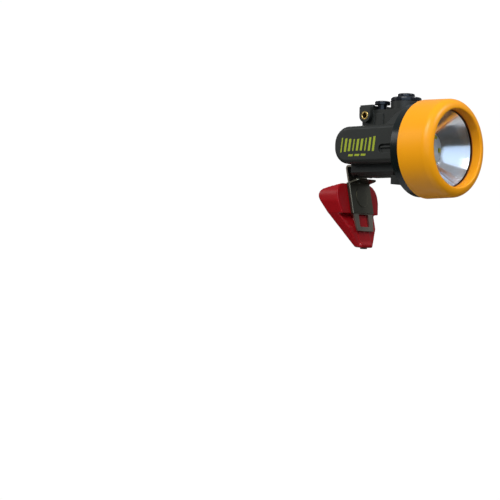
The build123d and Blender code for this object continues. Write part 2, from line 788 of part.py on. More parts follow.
# Return springs, each a close-fitting coil between a button's flange and the part below.
for spring_name, spring_x, spring_y, spring_r, spring_foot, spring_head, wire_r in (
    ("main_spring", 0.0, main_y, 6.2, well_floor + 0.05, collar_bottom - 1.65, 0.35),
    ("aux_spring", aux_x, aux_y, 4.0, board_z + board_t + 0.05, aux_flange_z - 0.05, 0.3),
):
    with BuildPart() as spring:
        coil_h = spring_head - spring_foot - 2 * wire_r
        coil_origin = (spring_x, head_y + spring_y, axis_z + spring_foot + wire_r)
        with BuildLine(Plane(origin=coil_origin)):
            coil = Helix(pitch=coil_h / 4, height=coil_h, radius=spring_r)
        with BuildSketch(Plane(origin=coil @ 0, z_dir=coil % 0)):
            Circle(wire_r)
        sweep(path=coil, is_frenet=True)
    spring.part.label = spring_name
    export_step(spring.part, f"parts/{spring_name}.step")

with BuildPart() as switch_board:
    with BuildSketch(level_plane(board_z)):
        with Locations((0, 27.0)):
            RectangleRounded(17.0, 30.0, 1.0)
    extrude(amount=board_t)
switch_board.part.label = "switch_board"
export_step(switch_board.part, "parts/switch_board.step")

for unit_name, unit_x, unit_y in (("main_switch_unit", 0.0, main_y), ("aux_switch_unit", aux_x, aux_y)):
    with BuildPart() as switch_unit:
        with BuildSketch(level_plane(board_z + board_t)):
            with Locations((unit_x, unit_y)):
                Rectangle(4.6, 4.6)
        extrude(amount=2.6)
        with BuildSketch(level_plane(board_z + board_t + 2.6)):
            with Locations((unit_x, unit_y)):
                Circle(1.2)
        extrude(amount=0.9)
    switch_unit.part.label = unit_name
    export_step(switch_unit.part, f"parts/{unit_name}.step")

# ---------------------------------------------------------------- helmet bracket
front_gap = sheet + sleeve_gap + sleeve_t + 0.05
tongue_gap = sheet + 0.35

with BuildPart() as helmet_bracket:
    # Shield block behind the sleeve, rounded when seen from the front.
    with BuildSketch(side_plane(-shield_half_w - 1)):
        with BuildLine():
            Polyline(
                (strip_y(bracket_crest_z, front_gap), bracket_crest_z),
                (back_y(bracket_top_z), bracket_top_z), (back_y(shield_bottom_z), shield_bottom_z),
                (strip_y(shield_bottom_z, front_gap), shield_bottom_z), close=True,
            )
        make_face()
        fillet(vertices().group_by(Axis.X)[-1], radius=shield_round)
    extrude(amount=2 * shield_half_w + 2)
    with BuildSketch(front_plane(40)):
        with BuildLine():
            Polyline(
                (-shield_bottom_half_w, shield_bottom_z - 1), (shield_bottom_half_w, shield_bottom_z - 1),
                (shield_half_w, shield_waist_z), (shield_half_w, bracket_crest_z),
                (-shield_half_w, bracket_crest_z), (-shield_half_w, shield_waist_z), close=True,
            )
        make_face()
        fillet(vertices().group_by(Axis.Y)[-1], radius=shield_corner_r)
    extrude(amount=-50, mode=Mode.INTERSECT)

with BuildPart() as back_band:
    # Band along the helmet, narrowing towards the tip.
    with BuildSketch(side_plane(-shield_half_w - 1)):
        with BuildLine():
            Polyline(
                (back_y(bracket_top_z), bracket_top_z), (back_y(bracket_tip_z), bracket_tip_z),
                (strip_y(bracket_tip_z, tongue_gap) + 0.6, bracket_tip_z),
                (strip_y(band_knee_z, tongue_gap) + 0.6, band_knee_z),
                (back_y(bracket_top_z) - band_t * back_len, bracket_top_z), close=True,
            )
        make_face()
    extrude(amount=2 * shield_half_w + 2)
    with BuildSketch(front_plane(40)):
        with BuildLine():
            Polyline(
                (-tip_half_w, bracket_tip_z), (tip_half_w, bracket_tip_z),
                (shield_bottom_half_w, shield_bottom_z), (shield_bottom_half_w, bracket_top_z - 3),
                (-shield_bottom_half_w, bracket_top_z - 3), (-shield_bottom_half_w, shield_bottom_z),
                close=True,
            )
        make_face()
        fillet(vertices().group_by(Axis.Y)[0], radius=tip_round)
    extrude(amount=-50, mode=Mode.INTERSECT)

with BuildPart() as tongue:
    # Central tongue behind the hook's tip, with a small flared lip at its foot.
    with BuildSketch(side_plane(-tongue_half_w)):
        with BuildLine():
            Polyline(
                (strip_y(tongue_top_z, tongue_gap), tongue_top_z),
                (strip_y(tongue_lip_z + 2, tongue_gap), tongue_lip_z + 2),
                (strip_y(tongue_lip_z, tongue_gap) - 1.4, tongue_lip_z),
                (strip_y(bracket_tip_z, tongue_gap) - 0.8, bracket_tip_z),
                (back_y(bracket_tip_z), bracket_tip_z),
                (back_y(shield_bottom_z) - 1, shield_bottom_z + 0.3), close=True,
            )
        make_face()
    extrude(amount=2 * tongue_half_w)

with BuildPart() as bracket_block:
    add(helmet_bracket.part)
    add(back_band.part)
    add(tongue.part)
    # Everything beyond the helmet-side face is cut away, leaving one flat face.
    with BuildSketch(back_plane()):
        Rectangle(120, 160)
    extrude(amount=30, mode=Mode.SUBTRACT)
    # Shallow lightening pockets and two insert holes in that face.
    with BuildSketch(back_plane()):
        with Locations((-10.5, -8.5), (10.5, -8.5)):
            RectangleRounded(8.0, 9.0, 1.0)
        with Locations((-9.0, 6.0), (9.0, 6.0)):
            RectangleRounded(6.5, 9.0, 1.0)
    extrude(amount=-2.5, mode=Mode.SUBTRACT)
    with BuildSketch(back_plane()):
        with Locations((0, -insert_pitch / 2), (0, insert_pitch / 2)):
            Circle(insert_r)
    extrude(amount=-insert_len - 1, mode=Mode.SUBTRACT)
    # Blind holes for the sleeve's two rivets.
    with BuildSketch(strip_plane(-front_gap + 1)):
        for rivet_z in rivet_zs:
            with Locations((0, strip_s(rivet_z))):
                Circle(rivet_r)
    extrude(amount=-rivet_len, mode=Mode.SUBTRACT)
bracket_block.part.label = "helmet_bracket"
export_step(bracket_block.part, "parts/helmet_bracket.step")

with BuildPart() as bracket_inserts:
    with BuildSketch(back_plane().offset(-insert_len - 0.1)):
        with Locations((0, -insert_pitch / 2), (0, insert_pitch / 2)):
            Circle(insert_r)
            Circle(insert_bore_r, mode=Mode.SUBTRACT)
    extrude(amount=insert_len)
bracket_inserts.part.label = "bracket_inserts"
export_step(bracket_inserts.part, "parts/bracket_inserts.step")

with BuildPart() as tip_pad:
    # Rubber foot under the bracket's tip.
    with BuildSketch(level_plane(bracket_tip_z)):
        with Locations((0, (strip_y(bracket_tip_z, tongue_gap) + back_y(bracket_tip_z)) / 2 + 0.4)):
            RectangleRounded(6.0, 2.6, 1.2)
    extrude(amount=-0.9)
    fillet(tip_pad.edges().group_by(Axis.Z)[0], radius=0.5)
tip_pad.part.label = "tip_pad"
export_step(tip_pad.part, "parts/tip_pad.step")

with BuildPart() as keeper_sleeve:
    # Flat steel tube around the strip, with a raised oval on its face.
    sleeve_mid = (strip_s(sleeve_top_z) + strip_s(sleeve_bottom_z)) / 2
    sleeve_h = strip_s(sleeve_top_z) - strip_s(sleeve_bottom_z)
    sleeve_half_w = hook_half_w + sleeve_gap + sleeve_t
    with BuildSketch(strip_plane(sleeve_gap + sleeve_t)):
        with Locations((0, sleeve_mid)):
            Rectangle(2 * sleeve_half_w, sleeve_h)
    extrude(amount=-(sheet + 2 * sleeve_gap + 2 * sleeve_t))
    fillet(keeper_sleeve.edges().filter_by(lambda edge: abs(edge.length - sleeve_h) < 0.01), radius=0.9)
    with BuildSketch(strip_plane(sleeve_gap)):
        with Locations((0, sleeve_mid)):
            Rectangle(2 * (hook_half_w + sleeve_gap), sleeve_h + 2)
    extrude(amount=-(sheet + 2 * sleeve_gap), mode=Mode.SUBTRACT)
    with BuildSketch(strip_plane(sleeve_gap + sleeve_t)):
        with Locations((0, sleeve_mid + 0.5)):
            Ellipse(sleeve_oval[0], sleeve_oval[1])
    extrude(amount=sleeve_oval_h)
    # Flared lip that guides the strip in from above.
    lip_y = strip_y(sleeve_top_z, -sleeve_gap)
    with BuildSketch(side_plane(-sleeve_half_w + 0.6)):
        with BuildLine():
            Polyline(
                (lip_y, sleeve_top_z), (lip_y - 0.3, sleeve_top_z + 0.35),
                (lip_y - lip_reach, sleeve_top_z + 2.45), (lip_y - lip_reach - 0.15, sleeve_top_z + 1.75),
                (lip_y - 1.0, sleeve_top_z - 0.5), (lip_y - sleeve_t, sleeve_top_z - 1.6),
                (lip_y - 0.2, sleeve_top_z - 1.6), close=True,
            )
        make_face()
    extrude(amount=2 * sleeve_half_w - 1.2)
    lip_end = keeper_sleeve.faces().sort_by(Axis.Y)[0]
    fillet(lip_end.edges().filter_by(lambda edge: edge.length < 2), radius=3.0)
    # Relief hole at the bend, and countersinks for the rivets in the rear wall.
    with BuildSketch(level_plane(sleeve_top_z + 3)):
        with Locations((-2.5, lip_y - 1.6)):
            SlotOverall(3.4, 1.3)
    extrude(amount=-3.6, mode=Mode.SUBTRACT)
    with BuildSketch(strip_plane(-sheet - sleeve_gap + 0.1)):
        for rivet_z in rivet_zs:
            with Locations((0, strip_s(rivet_z))):
                Circle(rivet_r)
    extrude(amount=-sleeve_t - 0.2, mode=Mode.SUBTRACT)
keeper_sleeve.part.label = "keeper_sleeve"
export_step(keeper_sleeve.part, "parts/keeper_sleeve.step")

with BuildPart() as keeper_rivets:
    with BuildSketch(strip_plane(-sheet - sleeve_gap - 0.02)):
        for rivet_z in rivet_zs:
            with Locations((0, strip_s(rivet_z))):
                Circle(rivet_r - 0.02)
    extrude(amount=-rivet_len + 2)
keeper_rivets.part.label = "keeper_rivets"
export_step(keeper_rivets.part, "parts/keeper_rivets.step")
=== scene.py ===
import bpy
import bmesh
import json
import math
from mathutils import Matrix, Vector


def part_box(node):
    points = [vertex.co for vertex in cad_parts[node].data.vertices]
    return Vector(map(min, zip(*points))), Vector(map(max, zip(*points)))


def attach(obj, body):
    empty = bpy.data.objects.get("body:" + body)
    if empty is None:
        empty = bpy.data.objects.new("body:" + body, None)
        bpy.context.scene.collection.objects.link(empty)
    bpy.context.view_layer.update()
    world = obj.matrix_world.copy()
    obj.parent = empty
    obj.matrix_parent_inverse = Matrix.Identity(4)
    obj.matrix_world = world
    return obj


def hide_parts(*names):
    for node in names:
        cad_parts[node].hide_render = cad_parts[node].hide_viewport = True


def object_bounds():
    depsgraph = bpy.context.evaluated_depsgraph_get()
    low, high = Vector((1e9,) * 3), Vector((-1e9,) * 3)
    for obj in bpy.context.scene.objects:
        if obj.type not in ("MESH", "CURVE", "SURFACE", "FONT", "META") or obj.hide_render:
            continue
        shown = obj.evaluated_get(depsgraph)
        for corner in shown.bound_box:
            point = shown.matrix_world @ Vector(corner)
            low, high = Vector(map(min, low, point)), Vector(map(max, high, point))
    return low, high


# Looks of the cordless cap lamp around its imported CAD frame. Lengths are in metres, lights in watts.

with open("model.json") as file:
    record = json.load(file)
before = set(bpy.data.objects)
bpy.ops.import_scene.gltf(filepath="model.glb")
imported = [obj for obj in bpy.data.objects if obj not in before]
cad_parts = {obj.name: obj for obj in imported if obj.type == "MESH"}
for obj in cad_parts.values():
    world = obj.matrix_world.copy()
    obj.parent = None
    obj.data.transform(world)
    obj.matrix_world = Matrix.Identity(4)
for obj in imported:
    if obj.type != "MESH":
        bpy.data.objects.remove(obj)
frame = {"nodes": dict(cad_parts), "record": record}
nodes = frame["nodes"]
cad_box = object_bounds()

bezel_low, bezel_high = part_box("bezel_ring")
AXIS_X = (bezel_low.x + bezel_high.x) / 2
AXIS_Z = (bezel_low.z + bezel_high.z) / 2
BEZEL_REAR = bezel_high.y
DRUM_REAR = BEZEL_REAR + 0.0072

CAMERA_PLACE = (-0.7398, -0.6257, -0.0332)
CAMERA_RIGHT = (0.6967, -0.7168, 0.0288)
CAMERA_BACK = (-0.7169, -0.6971, -0.0105)
CAMERA_LENS_MM = 100.8
CAMERA_SENSOR_MM = 36.0
CAMERA_NEAR = 0.01

FLOOR_DROP = 0.36
FLOOR_REACH = 0.30
FLOOR_COLOUR = (0.60, 0.60, 0.59)
FLOOR_ROUGH = 0.75

ROOM_STRENGTH = 0.42
BACKDROP_STRENGTH = 1.02
# Surroundings from straight below (0) through the horizon (0.5) to straight above (1).
ROOM_STOPS = (
    (0.0, (0.10, 0.10, 0.09)),
    (0.40, (0.14, 0.14, 0.13)),
    (0.5, (0.26, 0.26, 0.25)),
    (0.56, (0.50, 0.52, 0.55)),
    (0.72, (0.60, 0.66, 0.76)),
    (1.0, (0.95, 0.97, 1.0)),
)

LIGHT_TARGET = (0.0, -0.03, 0.03)
WHITE = (1.0, 1.0, 1.0)
# Name, place, size, power and colour of each soft light.
LIGHTS = (
    ("key", (-0.82, -0.36, 0.74), (0.60, 0.50), 9.0, (1.0, 0.985, 0.96)),
    ("front", (0.40, -0.95, 0.75), (0.45, 0.30), 6.0, WHITE),
    ("sky", (-0.72, -0.62, 0.38), (1.30, 1.10), 5.0, (0.55, 0.74, 1.0)),
    ("side", (-0.70, 0.75, 0.45), (0.40, 0.40), 1.6, WHITE),
    ("rear", (0.55, 0.75, 0.35), (0.35, 0.35), 2.5, WHITE),
)

# Grain is in features a metre, height is the depth of the grain.
# The edge lightening strength of a material stands for rubbed wear and for a painted edge highlight.
PLASTICS = {
    "bezel_yellow": dict(
        colour=(0.92, 0.345, 0.006), rough=0.34, grain=260.0, height=0.000002, shade=0.03, ior=1.32),
    "housing_black": dict(
        colour=(0.0165, 0.0175, 0.0145), rough=0.42, grain=2600.0, height=0.000010,
        shade=0.16, wear_and_edge_highlight=0.10, soft=0.0004),
    "switch_black": dict(
        colour=(0.0048, 0.0060, 0.0096), rough=0.18, grain=900.0, height=0.000004,
        coat=0.3, wear_and_edge_highlight=0.1, soft=0.0003),
    "bracket_red": dict(
        colour=(0.305, 0.0040, 0.0070), rough=0.33, grain=300.0, height=0.000003, shade=0.06, ior=1.3),
    "rubber_black": dict(colour=(0.014, 0.014, 0.014), rough=0.7, grain=2400.0, height=0.00002),
    "gasket_red": dict(colour=(0.42, 0.11, 0.02), rough=0.5, grain=2400.0, height=0.00001),
    "board_white": dict(colour=(0.50, 0.58, 0.62), rough=0.35, grain=2600.0, height=0.00001),
    "board_green": dict(colour=(0.02, 0.13, 0.05), rough=0.35, grain=2600.0, height=0.00001),
    "component_black": dict(colour=(0.02, 0.02, 0.022), rough=0.5, grain=2600.0, height=0.00001),
    "cell_wrap": dict(colour=(0.03, 0.09, 0.32), rough=0.3, grain=1200.0, height=0.00001, coat=0.3),
    "foam_black": dict(colour=(0.02, 0.02, 0.02), rough=0.9, grain=1800.0, height=0.0001),
    "led_phosphor": dict(
        colour=(0.50, 0.53, 0.06), rough=0.3, grain=2600.0, height=0.00001, coat=0.3),
    "print_green": dict(
        colour=(0.30, 0.345, 0.018), rough=0.45, grain=2600.0, height=0.000006, shade=0.15),
}

# The lines of rolling run along the axes with the smallest numbers in along; equal numbers give none.
# The edge lightening strength of a metal stands for sheared edges and for a painted edge highlight.
METALS = {
    "hook_steel": dict(colour=(0.27, 0.24, 0.19), rough=0.34, along=(1.0, 0.06, 0.06)),
    "sleeve_steel": dict(
        colour=(0.105, 0.100, 0.075), rough=0.38, along=(0.06, 0.5, 1.0), shade=0.12, wear_and_edge_highlight=1.0),
    "screw_steel": dict(colour=(0.45, 0.45, 0.45), rough=0.3, along=(1.0, 1.0, 0.1)),
    "spring_steel": dict(colour=(0.5, 0.5, 0.5), rough=0.25, along=(1.0, 1.0, 1.0)),
    "heat_sink_alu": dict(colour=(0.6, 0.61, 0.63), rough=0.35, along=(1.0, 0.1, 0.1)),
    "brass": dict(colour=(0.60, 0.40, 0.13), rough=0.26, along=(0.1, 1.0, 1.0)),
}

DRUM_COLOUR = (0.0045, 0.0075, 0.0065)
DRUM_ROUGH = 0.20
DRUM_BLEND = 0.0001

MOULD_LINE_DEGREES = (64.0, 180.0, -66.0)
MOULD_LINE_CORE = 0.00012
MOULD_LINE_EDGE = 0.00042
MIRROR_COLOUR = (0.80, 0.82, 0.85)
# Orange of the mould lines: a painted reflection in the creases of the mirror.
MOULD_LINE_REFLECTION_COLOUR = (0.62, 0.33, 0.14)
MIRROR_RIM_R = 0.02515
MIRROR_RIM_COLOUR = (0.62, 0.52, 0.36)

BODY_HALF_W = 0.0200
PRINT_GAP = 0.00001
PRINT_THICKNESS = 0.00006
PRINT_CHAMFER = 0.00004
PRINT_REAR = BEZEL_REAR + 0.0592
PRINT_FRONT = BEZEL_REAR + 0.0280
PRINT_BASE = AXIS_Z - 0.0008
BARS = 9
BAR_TALL = 0.0078
BAR_EXTRA = 0.0026
BAR_DIP = 0.0010
BAR_LEAN = 0.0012
BAR_WIDE = 0.26
BAR_NARROW = 0.15
DASHES = 3
DASH_SHARE = 0.13
DASH_PITCH = 1.35
DASH_LOW = 0.0036
DASH_HIGH = 0.0022
DASH_LEAN = 0.0003

VOXEL = 0.0003
RELAX_FACTOR = 0.5
RELAX_PASSES = 50
KEPT_SHARE = 0.45


# ---------------------------------------------------------------- camera, light and floor
def add_camera():
    """Camera at the picture's viewpoint: ahead of the lamp on its -X side, level with the hook."""
    camera = bpy.data.objects.new("camera", bpy.data.cameras.new("camera"))
    bpy.context.scene.collection.objects.link(camera)
    camera.data.lens = CAMERA_LENS_MM
    camera.data.sensor_width = CAMERA_SENSOR_MM
    camera.data.clip_start = CAMERA_NEAR
    right = Vector(CAMERA_RIGHT).normalized()
    back = Vector(CAMERA_BACK)
    back = (back - right * back.dot(right)).normalized()
    up = back.cross(right)
    basis = camera.matrix_world.copy()
    for row in range(3):
        basis[row][0] = right[row]
        basis[row][1] = up[row]
        basis[row][2] = back[row]
    basis.translation = Vector(CAMERA_PLACE)
    camera.matrix_world = basis
    bpy.context.scene.camera = camera


def add_area(name, place, size, power, colour):
    """Soft rectangular light at place, turned towards the lamp."""
    data = bpy.data.lights.new(name, "AREA")
    data.shape = "RECTANGLE"
    data.size, data.size_y = size
    data.energy = power
    data.color = colour
    light = bpy.data.objects.new(name, data)
    bpy.context.scene.collection.objects.link(light)
    light.location = place
    aim = Vector(LIGHT_TARGET) - Vector(place)
    light.rotation_euler = aim.to_track_quat("-Z", "Y").to_euler()


def add_world():
    """White backdrop for the camera, and graded surroundings for every other ray."""
    world = bpy.data.worlds.new("studio")
    bpy.context.scene.world = world
    world.use_nodes = True
    tree = world.node_tree
    tree.nodes.clear()
    out = tree.nodes.new("ShaderNodeOutputWorld")
    room = tree.nodes.new("ShaderNodeBackground")
    backdrop = tree.nodes.new("ShaderNodeBackground")
    both = tree.nodes.new("ShaderNodeMixShader")
    path = tree.nodes.new("ShaderNodeLightPath")
    coord = tree.nodes.new("ShaderNodeTexCoord")
    split = tree.nodes.new("ShaderNodeSeparateXYZ")
    ramp = tree.nodes.new("ShaderNodeValToRGB")
    spread = tree.nodes.new("ShaderNodeMapRange")
    spread.inputs["From Min"].default_value = -1.0
    spread.inputs["From Max"].default_value = 1.0
    tree.links.new(coord.outputs["Generated"], split.inputs[0])
    tree.links.new(split.outputs["Z"], spread.inputs["Value"])
    tree.links.new(spread.outputs[0], ramp.inputs["Fac"])
    tree.links.new(ramp.outputs["Color"], room.inputs["Color"])
    tree.links.new(path.outputs["Is Camera Ray"], both.inputs["Fac"])
    tree.links.new(room.outputs[0], both.inputs[1])
    tree.links.new(backdrop.outputs[0], both.inputs[2])
    tree.links.new(both.outputs[0], out.inputs["Surface"])
    elements = ramp.color_ramp.elements
    elements[0].position, elements[1].position = ROOM_STOPS[0][0], ROOM_STOPS[-1][0]
    for position, _ in ROOM_STOPS[1:-1]:
        elements.new(position)
    for element, (position, colour) in zip(elements, ROOM_STOPS):
        element.position = position
        element.color = (*colour, 1)
    room.inputs["Strength"].default_value = ROOM_STRENGTH
    backdrop.inputs["Color"].default_value = (*WHITE, 1)
    backdrop.inputs["Strength"].default_value = BACKDROP_STRENGTH


def add_floor():
    """Pale floor well below the lamp, which hangs free."""
    floor_mesh = bpy.data.meshes.new("floor")
    level = cad_box[0][2] - FLOOR_DROP
    corners = ((-1, -1), (1, -1), (1, 1), (-1, 1))
    floor_mesh.from_pydata(
        [(x * FLOOR_REACH, y * FLOOR_REACH, level) for x, y in corners], [], [(0, 1, 2, 3)])
    floor = bpy.data.objects.new("floor", floor_mesh)
    bpy.context.scene.collection.objects.link(floor)
    pale, _ = new_material("floor_pale", FLOOR_COLOUR, FLOOR_ROUGH)
    floor_mesh.materials.append(pale)


def add_studio():
    add_world()
    add_floor()
    for name, place, size, power, colour in LIGHTS:
        add_area(name, place, size, power, colour)


# ---------------------------------------------------------------- material tools
class Tools:
    """Node helpers of one material: every texture is placed by object coordinates."""

    def __init__(self, material):
        self.nodes = material.node_tree.nodes
        self.links = material.node_tree.links
        self.shader = self.nodes.new("ShaderNodeBsdfPrincipled")
        out = self.nodes.new("ShaderNodeOutputMaterial")
        self.links.new(self.shader.outputs[0], out.inputs["Surface"])
        self.coord = self.nodes.new("ShaderNodeTexCoord").outputs["Object"]
        self.bump_normal = None

    def noise(self, scale, detail, stretch=(1, 1, 1), roughness=0.5):
        """Noise of so many features a metre, stretched along the axes."""
        mapping = self.nodes.new("ShaderNodeMapping")
        mapping.inputs["Scale"].default_value = stretch
        self.links.new(self.coord, mapping.inputs["Vector"])
        texture = self.nodes.new("ShaderNodeTexNoise")
        texture.inputs["Scale"].default_value = scale
        texture.inputs["Detail"].default_value = detail
        texture.inputs["Roughness"].default_value = roughness
        self.links.new(mapping.outputs[0], texture.inputs["Vector"])
        return texture.outputs["Fac"]

    def ranged(self, value, low, high, from_low=0.3, from_high=0.7):
        """A value stretched to run from low to high. Noise mostly lies between 0.3 and 0.7."""
        node = self.nodes.new("ShaderNodeMapRange")
        node.inputs["From Min"].default_value = from_low
        node.inputs["From Max"].default_value = from_high
        node.inputs["To Min"].default_value = low
        node.inputs["To Max"].default_value = high
        self.links.new(value, node.inputs["Value"])
        return node.outputs[0]

    def mix(self, share, first, second):
        """Colour between first and second; each is a colour or a socket."""
        node = self.nodes.new("ShaderNodeMix")
        node.data_type = "RGBA"
        self.links.new(share, node.inputs["Factor"])
        for name, colour in (("A", first), ("B", second)):
            socket = [s for s in node.inputs if s.name == name and s.type == "RGBA"][0]
            if isinstance(colour, tuple):
                socket.default_value = (*colour, 1)
            else:
                self.links.new(colour, socket)
        return [s for s in node.outputs if s.type == "RGBA"][0]

    def bevel(self, radius, samples):
        """Normal of the surface with its edges rounded to this radius."""
        node = self.nodes.new("ShaderNodeBevel")
        node.samples = samples
        node.inputs["Radius"].default_value = radius
        return node.outputs[0]

    def edges(self, radius):
        """1 along edges and 0 on flats, within this distance of an edge."""
        rounded = self.bevel(radius, 4)
        geometry = self.nodes.new("ShaderNodeNewGeometry")
        dot = self.nodes.new("ShaderNodeVectorMath")
        dot.operation = "DOT_PRODUCT"
        self.links.new(rounded, dot.inputs[0])
        self.links.new(geometry.outputs["Normal"], dot.inputs[1])
        return self.ranged(dot.outputs["Value"], 1.0, 0.0, 0.905, 0.995)

    def round_edges(self, radius):
        """Lets the edges look rounded to this radius, under the bumps added later."""
        self.bump_normal = self.bevel(radius, 6)

    def maths(self, operation, first, second=0.0):
        """One operation on two values, each a number or a socket."""
        node = self.nodes.new("ShaderNodeMath")
        node.operation = operation
        for socket, value in zip(node.inputs, (first, second)):
            if isinstance(value, (int, float)):
                socket.default_value = value
            else:
                self.links.new(value, socket)
        return node.outputs[0]

    def bump(self, value, height, strength):
        """Adds a bump of this height to those already there."""
        node = self.nodes.new("ShaderNodeBump")
        node.inputs["Strength"].default_value = strength
        node.inputs["Distance"].default_value = height
        self.links.new(value, node.inputs["Height"])
        if self.bump_normal is not None:
            self.links.new(self.bump_normal, node.inputs["Normal"])
        self.bump_normal = node.outputs[0]
        self.links.new(self.bump_normal, self.shader.inputs["Normal"])

    def paint(self, socket_name, value):
        """Links a value to one of the shader's sockets."""
        self.links.new(value, self.shader.inputs[socket_name])


def new_material(name, colour, rough, metallic=0.0, ior=1.5):
    """A node material with its base values set, and its tools."""
    material = bpy.data.materials.new(name)
    material.use_nodes = True
    material.node_tree.nodes.clear()
    tools = Tools(material)
    tools.shader.inputs["Base Color"].default_value = (*colour, 1)
    tools.shader.inputs["Roughness"].default_value = rough
    tools.shader.inputs["Metallic"].default_value = metallic
    tools.shader.inputs["IOR"].default_value = ior
    return material, tools


def tinted(colour, factor):
    """The colour made lighter or darker, held below 1."""
    return tuple(min(1.0, channel * factor) for channel in colour)


def moulded_plastic(name, colour, rough, grain, height, coat=0.0, shade=0.10, wear_and_edge_highlight=0.0, soft=0.0, ior=1.4):
    """Moulded plastic: slow tone changes, spark-eroded grain, scuffs in the gloss, edges lightened partly as
    rubbed wear and partly as a painted edge highlight.
    soft is the radius to which the edges look rounded."""
    material, tools = new_material(name, colour, rough, 0.0, ior)
    if soft:
        tools.round_edges(soft)
    tone = tools.mix(tools.noise(38.0, 3.0), tinted(colour, 1 - shade), tinted(colour, 1 + shade))
    speckle = tools.ranged(tools.noise(2400.0, 2.0), 0.0, 0.25)
    tone = tools.mix(speckle, tone, tinted(colour, 1 + 2 * shade))
    if wear_and_edge_highlight:
        patches = tools.ranged(tools.noise(240.0, 5.0), 0.0, wear_and_edge_highlight)
        # Lighter edges: partly rubbed wear, partly a painted highlight along the edges.
        worn_and_highlit_edges = tools.maths("MULTIPLY", tools.edges(0.0005), patches)
        lighter = tuple(0.75 * channel + 0.10 for channel in colour)
        tone = tools.mix(worn_and_highlit_edges, tone, lighter)
    tools.paint("Base Color", tone)
    scuffs = tools.noise(150.0, 6.0, (1.0, 0.4, 1.0), 0.65)
    tools.paint("Roughness", tools.ranged(scuffs, rough * 0.86, min(1.0, rough * 1.2)))
    tools.bump(tools.noise(grain, 3.0), height, 0.6)
    tools.shader.inputs["Coat Weight"].default_value = coat
    tools.shader.inputs["Coat Roughness"].default_value = 0.10
    return material


def brushed_metal(name, colour, rough, along, shade=0.14, wear_and_edge_highlight=0.6):
    """Rolled sheet: fine lines in one direction, cloudy tone and roughness, edges painted brighter as sheared
    metal and as a painted edge highlight.
    """
    material, tools = new_material(name, colour, rough, 1.0)
    lines = tools.noise(2600.0, 3.0, along, 0.7)
    clouds = tools.noise(90.0, 4.0)
    tone = tools.mix(clouds, tinted(colour, 1 - shade), tinted(colour, 1 + shade))
    tone = tools.mix(tools.ranged(lines, 0.0, 0.35), tone, tinted(colour, 1 + shade))
    # Brighter edges: sheared metal, and a painted highlight where light glints on the edges.
    shear_and_highlight_mask = tools.maths("MULTIPLY", tools.edges(0.00035), wear_and_edge_highlight)
    tone = tools.mix(shear_and_highlight_mask, tone, tinted(colour, 2.2))
    tools.paint("Base Color", tone)
    tools.paint("Roughness", tools.ranged(lines, rough * 0.8, rough * 1.3))
    tools.bump(lines, 0.000006, 0.5)
    return material


def gloss_drum(material):
    """Turns the part of the housing ahead of the body, its drum, dark and glossy."""
    shader_nodes, links = material.node_tree.nodes, material.node_tree.links
    shader = [node for node in shader_nodes if node.type == "BSDF_PRINCIPLED"][0]
    coord = shader_nodes.new("ShaderNodeTexCoord")
    split = shader_nodes.new("ShaderNodeSeparateXYZ")
    links.new(coord.outputs["Object"], split.inputs[0])
    ahead = shader_nodes.new("ShaderNodeMapRange")
    ahead.inputs["From Min"].default_value = DRUM_REAR + DRUM_BLEND
    ahead.inputs["From Max"].default_value = DRUM_REAR - DRUM_BLEND
    links.new(split.outputs["Y"], ahead.inputs["Value"])
    for name, data_type, kind, value in (
        ("Base Color", "RGBA", "RGBA", (*DRUM_COLOUR, 1)),
        ("Roughness", "FLOAT", "VALUE", DRUM_ROUGH),
    ):
        socket = shader.inputs[name]
        before = socket.links[0].from_socket
        mix = shader_nodes.new("ShaderNodeMix")
        mix.data_type = data_type
        first = [s for s in mix.inputs if s.name == "A" and s.type == kind][0]
        second = [s for s in mix.inputs if s.name == "B" and s.type == kind][0]
        result = [s for s in mix.outputs if s.type == kind][0]
        links.new(ahead.outputs[0], mix.inputs["Factor"])
        links.new(before, first)
        second.default_value = value
        links.new(result, socket)


def mirror_material():
    """Metallised bowl with faint orange peel, haze, three radial mould lines tinted with a painted orange
    reflection, and a plain rim.
    """
    material, tools = new_material("reflector_mirror", (0.78, 0.80, 0.82), 0.05, 1.0)
    tools.paint("Roughness", tools.ranged(tools.noise(120.0, 4.0), 0.12, 0.22))
    split = tools.nodes.new("ShaderNodeSeparateXYZ")
    tools.links.new(tools.coord, split.inputs[0])
    across = tools.maths("SUBTRACT", split.outputs["X"], AXIS_X)
    height = tools.maths("SUBTRACT", split.outputs["Z"], AXIS_Z)

    def weighted(operation, first_share, second_share):
        return tools.maths(
            operation, tools.maths("MULTIPLY", across, first_share), tools.maths("MULTIPLY", height, second_share))

    lines = None
    for degrees in MOULD_LINE_DEGREES:
        cosine, sine = math.cos(math.radians(degrees)), math.sin(math.radians(degrees))
        off = weighted("SUBTRACT", sine, cosine)
        outward = weighted("ADD", cosine, sine)
        near = tools.ranged(tools.maths("ABSOLUTE", off), 1.0, 0.0, MOULD_LINE_CORE, MOULD_LINE_EDGE)
        line = tools.maths("MULTIPLY", near, tools.maths("GREATER_THAN", outward, 0.0))
        lines = line if lines is None else tools.maths("MAXIMUM", lines, line)
    radius = tools.maths("SQRT", weighted("ADD", across, height))
    rim = tools.maths("GREATER_THAN", radius, MIRROR_RIM_R)
    # The creases are tinted orange: a painted reflection.
    tone = tools.mix(lines, MIRROR_COLOUR, MOULD_LINE_REFLECTION_COLOUR)
    tone = tools.mix(rim, tone, MIRROR_RIM_COLOUR)
    tools.paint("Base Color", tone)
    tools.paint("Metallic", tools.maths("SUBTRACT", 1.0, rim))
    tools.bump(tools.noise(150.0, 2.0), 0.00004, 0.4)
    tools.bump(lines, 0.0001, 0.6)
    return material


def lens_material():
    """Clear hard-coated window with faint smears."""
    material, tools = new_material("lens_clear", WHITE, 0.02, ior=1.2)
    tools.shader.inputs["Transmission Weight"].default_value = 1.0
    tools.paint("Roughness", tools.ranged(tools.noise(60.0, 5.0), 0.0, 0.03))
    return material


